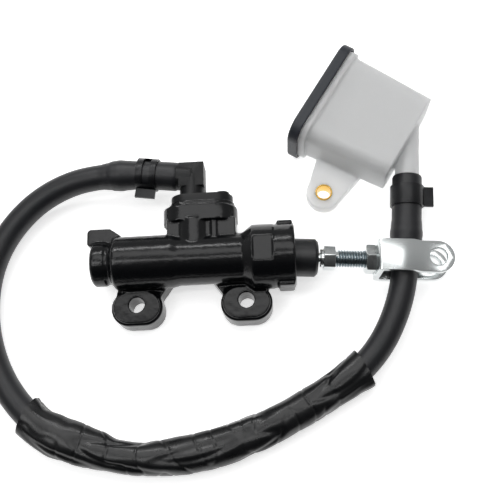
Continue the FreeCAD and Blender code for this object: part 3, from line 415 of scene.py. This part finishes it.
def make_finishes():
    """Every finish on the object, by the record's slot, and one more for the thread, painted darker as shade."""
    c = colours()
    return {
        # gloss enamel flows over sand grain, so its highlights break up
        "cast_black_paint": surface("gloss_paint_on_casting", tuple(c.paint), 0.19,
                                    [(0.6, 0.75), (2.4, 0.25)], 0.08, spread=0.07,
                                    Specular_IOR_Level=0.3, Coat_Weight=0.06,
                                    Coat_Roughness=0.12),
        # turned aluminium under a clear anodic film
        "anodised_aluminium": surface("turned_anodised_aluminium", linear("#c8cacc"), 0.32,
                                      [(0.8, 1.0)], 0.02, Metallic=1.0),
        # moulded nitrile, dull and dense
        "seal_rubber": surface("moulded_nitrile", linear("#161719"), 0.6, [(0.9, 1.0)], 0.04),
        # natural nylon, slightly waxy
        "white_nylon": surface("moulded_natural_nylon", linear("#e4e1d6"), 0.42, [(2.0, 1.0)], 0.03,
                               Subsurface_Weight=0.2, Subsurface_Scale=0.001),
        # drawn wire with a dark heat film
        "spring_steel": surface("drawn_spring_steel", linear("#83868a"), 0.35, [(0.6, 1.0)], 0.02,
                                Metallic=1.0),
        # bright zinc goes faintly blue in one place and yellow in the next
        "zinc_plate": surface("bright_zinc_plate", tuple(c.zinc), 0.22, [(1.6, 0.4), (8.0, 0.6)],
                              0.004, spread=0.03, tint=linear("#d9dcda"), Metallic=1.0),
        # the thread is painted darker than the plate, as painted shade and painted dark reflection on its flanks,
        # and is a little duller
        "painted_dark_thread": surface("zinc_thread_with_painted_shade", linear("#808b90"), 0.3, [(0.9, 1.0)], 0.01,
                                 Metallic=1.0),
        # soft satin rubber
        "boot_rubber": surface("satin_boot_rubber", linear("#0e0f12"), 0.4, [(0.9, 0.6), (5.0, 0.4)],
                               0.05),
        # glass-filled nylon with the tool's fine texture
        "black_nylon": surface("glass_filled_nylon", linear("#08090b"), 0.42, [(0.8, 0.6), (3.0, 0.4)],
                               0.05, Specular_IOR_Level=0.3),
        # phosphated steel strip
        "black_steel": surface("phosphated_steel", linear("#0f1013"), 0.36, [(0.8, 1.0)], 0.04,
                               Metallic=0.3),
        # cloth-wrapped cure leaves the hose with a low, even sheen
        "hose_rubber": surface("cured_hose_rubber", tuple(c.rubber), 0.46, [(1.0, 0.5), (6.0, 0.5)],
                               0.05),
        # plasticised vinyl, wet looking where it creases
        "sleeve_vinyl": surface("glossy_vinyl", tuple(c.vinyl), 0.3, [(3.0, 0.4), (9.0, 0.6)], 0.2,
                                Specular_IOR_Level=0.45),
        # blow-moulded polypropylene lets light through and hides shapes behind it
        "clear_white_plastic": surface("milky_polypropylene", tuple(c.tank), 0.4,
                                       [(2.5, 0.5), (12.0, 0.5)], 0.02, tint=linear("#fbfcfc"),
                                       Transmission_Weight=0.22, Subsurface_Weight=0.7,
                                       Subsurface_Scale=0.01,
                                       Subsurface_Radius=(1.0, 1.0, 1.0), IOR=1.3),
        # turned brass
        "brass": surface("turned_brass", linear("#d9b45c"), 0.22, [(0.7, 1.0)], 0.02, Metallic=1.0),
        # spark-eroded tool texture, drawn coarse enough to show
        "cap_plastic": surface("spark_textured_plastic", tuple(c.cap), 0.5, [(0.9, 0.7), (4.0, 0.3)],
                               0.12),
    }


FINISHES = {}


def record_slots():
    return {part["node"]: part["material_slot"] for part in frame["record"]["subparts"]}


# ---- operators ------------------------------------------------------------------------------

class BRAKE_OT_stage(bpy.types.Operator):
    """Camera, pale floor and soft studio lights"""
    bl_idname = "brake.stage"
    bl_label = "Stage"

    def camera(self, scene):
        data = bpy.data.cameras.new("camera")
        data.lens, data.sensor_width = CAMERA_LENS, CAMERA_SENSOR
        camera = bpy.data.objects.new("camera", data)
        scene.collection.objects.link(camera)
        right, up = Vector(CAMERA_RIGHT), Vector(CAMERA_UP)
        right, up = right.normalized(), (up - right * up.dot(right)).normalized()
        camera.matrix_world = Matrix((right, up, right.cross(up))).transposed().to_4x4()
        camera.location = CENTRE + Vector(CAMERA_FROM_CENTRE) * MM
        scene.camera = camera

    def floor(self):
        bpy.ops.object.select_all(action="DESELECT")
        bpy.ops.mesh.primitive_plane_add(
            size=8.0, location=(CENTRE.x, CENTRE.y, CAD_BOX[0].z - 0.2 * MM))
        floor = bpy.context.object
        floor.name = "floor"
        paper = bpy.data.materials.new("white_paper_with_painted_glow")
        paper.use_nodes = True
        tree = paper.node_tree
        tree.nodes.clear()
        at = add(tree, "ShaderNodeTexCoord").outputs["Object"]
        away = add(tree, "ShaderNodeVectorMath", {0: at}, operation="LENGTH").outputs["Value"]
        # the paper glows with painted light, even round the object, and past its edge the glow and its colour fade
        # as painted shade
        painted_glow = add(tree, "ShaderNodeMapRange", {"Value": away, "From Min": 0.3, "From Max": 0.75,
                                                "To Min": 0.62, "To Max": 0.05})
        shade = add(tree, "ShaderNodeMapRange", {"Value": away, "From Min": 0.3, "From Max": 0.9,
                                                 "To Min": 0.95, "To Max": 0.45})
        shader = add(tree, "ShaderNodeBsdfPrincipled", {
            "Base Color": shade.outputs["Result"], "Roughness": 0.9, "Specular IOR Level": 0.0,
            "Emission Color": (1, 1, 1, 1), "Emission Strength": painted_glow.outputs["Result"]})
        add(tree, "ShaderNodeOutputMaterial", {"Surface": shader.outputs["BSDF"]})
        floor.data.materials.append(paper)

    def room(self, scene):
        world = bpy.data.worlds.new("soft_room")
        world.use_nodes = True
        tree = world.node_tree
        back = tree.nodes["Background"]
        way = add(tree, "ShaderNodeSeparateXYZ", {
            "Vector": add(tree, "ShaderNodeTexCoord").outputs["Generated"]})
        # the room is bright beyond the port side and dark on the pedal side
        ramp = add(tree, "ShaderNodeMapRange", {"Value": way.outputs["Y"], "From Min": -0.75,
                                                "From Max": 0.35, "To Min": 0.03, "To Max": 0.42})
        back.inputs["Color"].default_value = (1, 1, 1, 1)
        tree.links.new(ramp.outputs["Result"], back.inputs["Strength"])
        scene.world = world
        scene.view_settings.view_transform = "Standard"
        scene.view_settings.look = "None"

    def lights(self, scene):
        for number, (at, (wide, high), power) in enumerate(SOFT_BOXES):
            lamp = bpy.data.lights.new("softbox_%d" % number, "AREA")
            lamp.shape, lamp.size, lamp.size_y, lamp.energy = "RECTANGLE", wide * MM, high * MM, power
            box = bpy.data.objects.new("softbox_%d" % number, lamp)
            box.location = CENTRE + Vector(at) * MM
            box.rotation_euler = (CENTRE - box.location).to_track_quat("-Z", "Y").to_euler()
            scene.collection.objects.link(box)

    def execute(self, context):
        self.camera(context.scene)
        self.floor()
        self.room(context.scene)
        self.lights(context.scene)
        return {"FINISHED"}


class BRAKE_OT_hose(bpy.types.Operator):
    """Rubber hose with its two ends swelled over the spigots"""
    bl_idname = "brake.hose"
    bl_label = "Hose"

    def execute(self, context):
        curve = bpy.data.curves.new("hose_run", "CURVE")
        curve.dimensions = "3D"
        curve.bevel_depth = sizes().hose_diameter / 2
        curve.bevel_resolution = 10
        curve.resolution_u = 24
        curve.use_fill_caps = True
        spline = curve.splines.new("NURBS")
        spline.points.add(len(HOSE_ROUTE) - 1)
        for point, at in zip(spline.points, HOSE_ROUTE):
            point.co = (*(Vector(at) * MM), 1.0)
        spline.order_u = 3
        spline.use_endpoint_u = True
        hose = bpy.data.objects.new("hose_run", curve)
        context.scene.collection.objects.link(hose)
        piece(hose, "cylinder", "hose_rubber", FINISHES["hose_rubber"], "reservoir_hose")
        line = hose_line()
        for name, ordered in (("hose_end_elbow", line), ("hose_end_reservoir", line[::-1])):
            run = stations(ordered)
            rings = []
            for along, radius in self.eased():
                centre, way = place_on(ordered, run, along * MM)
                side = way.cross(Vector((0, 0, 1))).normalized()
                top = side.cross(way)
                rings.append([centre + (side * math.cos(a) + top * math.sin(a)) * radius * MM
                              for a in (2 * math.pi * k / RING_POINTS for k in range(RING_POINTS))])
            piece(smooth(skin(name, rings), 50), "cylinder", "hose_rubber",
                              FINISHES["hose_rubber"])
        return {"FINISHED"}

    @staticmethod
    def eased():
        """The swell's profile, with enough rings for its curves."""
        lip, first, last = SWELL[:3], SWELL[2][0], SWELL[-1][0]
        places = [first + (last - first) * k / SWELL_RINGS for k in range(1, SWELL_RINGS + 1)]
        return lip + [(x, between(SWELL[2:], x)[0]) for x in places]


class BRAKE_OT_sleeve(bpy.types.Operator):
    """Loose, wrinkled vinyl sleeve over the lowest stretch of the hose"""
    bl_idname = "brake.sleeve"
    bl_label = "Sleeve"

    def execute(self, context):
        line = hose_line()
        gone = stations(line)
        low, high = SLEEVE_WIDTHS[0][0], SLEEVE_WIDTHS[-1][0]
        outer, inner = [], []
        wall = sizes().sleeve_wall / MM
        for i in range(SLEEVE_ROWS + 1):
            share = i / SLEEVE_ROWS
            along = low + (high - low) * share
            shell, lining = [], []
            for k in range(SLEEVE_AROUND):
                angle = 2 * math.pi * k / SLEEVE_AROUND
                # the two ends are cut a little out of square
                nearness = math.copysign(abs(2 * share - 1) ** SKEW_POWER, share - 0.5)
                skew = SLEEVE_SKEW * math.cos(angle) * nearness
                centre, way = place_on(line, gone, (along + skew) * MM)
                left, right = between(SLEEVE_WIDTHS, along)
                side = Vector((0, 0, 1)).cross(way).normalized()
                across, level = math.cos(angle), math.sin(angle)
                half = left if across > 0 else right
                sagging = max(0.0, level) * (0.5 + 0.5 * math.sin(along * 0.11 + 1.0))
                height = SLEEVE_HALF_HEIGHT - SLEEVE_SAG * sagging
                crease = self.crease(along, angle)
                for store, inset in ((shell, 0.0), (lining, wall)):
                    out = side * across * (half - inset - crease) * MM
                    rise = max(SLEEVE_FLOOR + inset, SLEEVE_MIDDLE + level * (height - inset - crease))
                    spot = centre + out
                    store.append(Vector((spot.x, spot.y, rise * MM)))
            outer.append(shell)
            inner.append(lining)
        shell = skin("vinyl_sleeve", outer + inner[::-1] + outer[:1], closed_ends=False)
        piece(smooth(shell, 70), "cylinder", "sleeve_vinyl", FINISHES["sleeve_vinyl"], "hose_sleeve")
        return {"FINISHED"}

    @staticmethod
    def crease(along, angle):
        """How far, in millimetres, the vinyl is drawn in at this place."""
        # long soft folds that run with the hose, and a few short buckles across it
        turn = Vector((0.0, math.cos(angle), math.sin(angle)))
        drawn = noise.noise(Vector((along * 0.028, 0, 0)) + turn * 0.95)
        fold = 1 - min(1.0, abs(drawn) * 4.2)
        buckle = 1 - min(1.0, abs(noise.noise(Vector((along * 0.12, 4, 2)) + turn * 0.5)) * 6.0)
        hollow = max(0.0, noise.noise(Vector((along * 0.05, 9, 5)) + turn * 0.8))
        return 0.55 * fold ** 2 * (3 - 2 * fold) + 0.3 * buckle ** 2 + 0.9 * hollow


class BRAKE_OT_casting(bpy.types.Operator):
    """Sand-cast and painted cylinder body"""
    bl_idname = "brake.casting"
    bl_label = "Casting"

    def execute(self, context):
        voxel = sizes().cast_grain * 1.0
        body = moulded("cylinder_body", "cast_cylinder", voxel, 5)
        lumps = bpy.data.textures.new("cast_lumps", "CLOUDS")
        lumps.noise_scale = 0.0024
        lumps.noise_depth = 2
        finished(body, "DISPLACE", texture=lumps, texture_coords="LOCAL", mid_level=0.5,
                 strength=sizes().cast_lumps)
        piece(smooth(body, 60), "cylinder", "cast_black_paint", FINISHES["cast_black_paint"],
              "cylinder_body")
        return {"FINISHED"}


class BRAKE_OT_fittings(bpy.types.Operator):
    """Elbow on the port and the two spring clamps"""
    bl_idname = "brake.fittings"
    bl_label = "Elbow and clamps"

    def cut_window(self, clamp):
        """The opening between the band's two rails, over the hose."""
        start, on = (Vector(point) * MM for point in HOSE_ROUTE[:2])
        way = (on - start).normalized()
        bpy.ops.object.select_all(action="DESELECT")
        bpy.ops.mesh.primitive_cube_add(size=1)
        window = bpy.context.object
        window.data.transform(
            Matrix.Translation(start + way * WINDOW_ALONG * MM + Vector((0, 0, WINDOW_ABOVE * MM)))
            @ Matrix.Rotation(math.atan2(way.y, way.x), 4, "Z")
            @ Matrix.Diagonal((*(Vector(WINDOW_SIZES) * MM), 1)))
        finished(clamp, "BOOLEAN", object=window, operation="DIFFERENCE", solver="EXACT")
        bpy.data.objects.remove(window)
        smooth(clamp, 30)

    def execute(self, context):
        elbow = pressed("elbow_fitting", "moulded_elbow")
        piece(elbow, "cylinder", "black_nylon", FINISHES["black_nylon"], "elbow_fitting")
        for node, name in (("hose_clamp_elbow", "spring_clamp_elbow"),
                           ("hose_clamp_reservoir", "spring_clamp_reservoir")):
            clamp = pressed(node, name)
            if node == "hose_clamp_elbow":
                self.cut_window(clamp)
            piece(clamp, "cylinder", "black_steel", FINISHES["black_steel"], node)
        return {"FINISHED"}


class BRAKE_OT_rod(bpy.types.Operator):
    """Pushrod with its rolled thread, jam nut, clevis and dust boot"""
    bl_idname = "brake.rod"
    bl_label = "Pushrod, nut, clevis and boot"

    def execute(self, context):
        place = rod_place()
        zinc = FINISHES["zinc_plate"]
        # ball, neck, collar and the plain core that the thread is rolled on
        ball = [(-BALL_RADIUS * math.cos(a), BALL_RADIUS * math.sin(a))
                for a in (math.radians(d) for d in range(0, 151, 10))]
        shank = turned("pushrod_shank", ball + SHANK)
        shank.data.transform(place)
        piece(smooth(shank, 35), "pushrod", "zinc_plate", zinc, "pushrod")
        bpy.ops.object.select_all(action="DESELECT")
        bpy.ops.mesh.primitive_cylinder_add(vertices=6, radius=HEX_FLATS / math.sqrt(3) * MM,
                                            depth=HEX_LENGTH * MM)
        hexagon = context.object
        hexagon.name = "pushrod_hexagon"
        finished(hexagon, "BEVEL", width=HEX_EDGE * MM, segments=3, limit_method="ANGLE",
                 angle_limit=math.radians(30))
        # laid along the rod with a corner uppermost
        hexagon.data.transform(Matrix.Translation((HEX_MIDDLE * MM, 0, 0))
                               @ Matrix.Rotation(math.pi / 2, 4, "Y")
                               @ Matrix.Rotation(math.radians(30), 4, "Z"))
        hexagon.data.transform(place)
        piece(smooth(hexagon, 30), "pushrod", "zinc_plate", zinc)
        s = sizes()
        pitch, crest = s.thread_pitch / MM, s.thread_radius / MM
        root = crest - s.thread_depth / MM
        profile = [(0, root), (0.42 * pitch, crest), (0.55 * pitch, crest), (0.97 * pitch, root),
                   (pitch, root)]
        thread = drawn_line("pushrod_thread", [(THREAD_START + x, r) for x, r in profile])
        finished(thread, "SCREW", axis="X", angle=2 * math.pi, steps=48, render_steps=48,
                 screw_offset=s.thread_pitch, iterations=THREAD_TURNS, use_merge_vertices=True,
                 merge_threshold=1e-6)
        outward(thread)
        finished(thread, "SOLIDIFY", thickness=THREAD_SKIN * MM, offset=-1)
        thread.data.transform(place)
        # the thread takes the finish that is painted darker as shade and dark reflection
        piece(smooth(thread, 25), "pushrod", "zinc_plate", FINISHES["painted_dark_thread"])
        piece(pressed("jam_nut", "zinc_jam_nut"), "jam_nut", "zinc_plate", zinc, "jam_nut")
        piece(pressed("clevis", "zinc_clevis"), "clevis", "zinc_plate", zinc, "clevis")
        boot = moulded("dust_boot", "rubber_boot", BOOT_GRAIN * MM, 4)
        piece(boot, "cylinder", "boot_rubber", FINISHES["boot_rubber"], "dust_boot")
        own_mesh(boot)
        return {"FINISHED"}


class BRAKE_OT_reservoir(bpy.types.Operator):
    """Milky reservoir, its textured cap and the brass sleeve in its tab"""
    bl_idname = "brake.reservoir"
    bl_label = "Reservoir"

    def execute(self, context):
        voxel = 0.5 * MM
        walls = ("reservoir_body", "reservoir_broad_walls", "reservoir_side_walls", "reservoir_tab")
        tank = moulded(walls, "milky_reservoir", voxel, 4)
        piece(tank, "cylinder", "clear_white_plastic", FINISHES["clear_white_plastic"], *walls)
        cap = moulded("reservoir_cap", "textured_cap", 0.4 * MM, 3)
        piece(cap, "cap", "cap_plastic", FINISHES["cap_plastic"], "reservoir_cap")
        sleeve = pressed("mount_sleeve", "brass_sleeve")
        piece(sleeve, "cylinder", "brass", FINISHES["brass"], "mount_sleeve")
        return {"FINISHED"}


class BRAKE_OT_inner_parts(bpy.types.Operator):
    """Finishes for the pieces that keep their machined shape"""
    bl_idname = "brake.inner_parts"
    bl_label = "Inner parts"

    def execute(self, context):
        for node, slot in record_slots().items():
            obj = frame["nodes"][node]
            obj.data.materials.clear()
            obj.data.materials.append(FINISHES[slot])
        # a copy of the return spring with a mesh of its own; the real spring shortens by the piston's whole
        # stroke, which nothing here does
        spring = smooth(copy_of("return_spring", "coil_spring"), 40)
        piece(spring, "cylinder", "spring_steel", FINISHES["spring_steel"], "return_spring")
        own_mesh(spring)
        return {"FINISHED"}


class BRAKE_PT_panel(bpy.types.Panel):
    """The pieces of the master cylinder"""
    bl_idname = "BRAKE_PT_panel"
    bl_label = "Brake master cylinder"
    bl_space_type = "VIEW_3D"
    bl_region_type = "UI"
    bl_category = "Brake"

    def draw(self, context):
        for group in (context.scene.brake_sizes, context.scene.brake_colours):
            for name in group.__annotations__:
                self.layout.prop(group, name)
        for step in STEPS:
            self.layout.operator(step.bl_idname)


STEPS = (BRAKE_OT_stage, BRAKE_OT_inner_parts, BRAKE_OT_hose, BRAKE_OT_sleeve, BRAKE_OT_casting,
         BRAKE_OT_fittings, BRAKE_OT_rod, BRAKE_OT_reservoir)
CLASSES = (BrakeSizes, BrakeColours, *STEPS, BRAKE_PT_panel)


def register():
    for each in CLASSES:
        bpy.utils.register_class(each)
    bpy.types.Scene.brake_sizes = bpy.props.PointerProperty(type=BrakeSizes)
    bpy.types.Scene.brake_colours = bpy.props.PointerProperty(type=BrakeColours)


def unregister():
    del bpy.types.Scene.brake_colours
    del bpy.types.Scene.brake_sizes
    for each in reversed(CLASSES):
        bpy.utils.unregister_class(each)


def main():
    register()
    FINISHES.update(make_finishes())
    for step in STEPS:
        group, name = step.bl_idname.split(".")
        getattr(getattr(bpy.ops, group), name)()


if __name__ == "__main__":
    main()
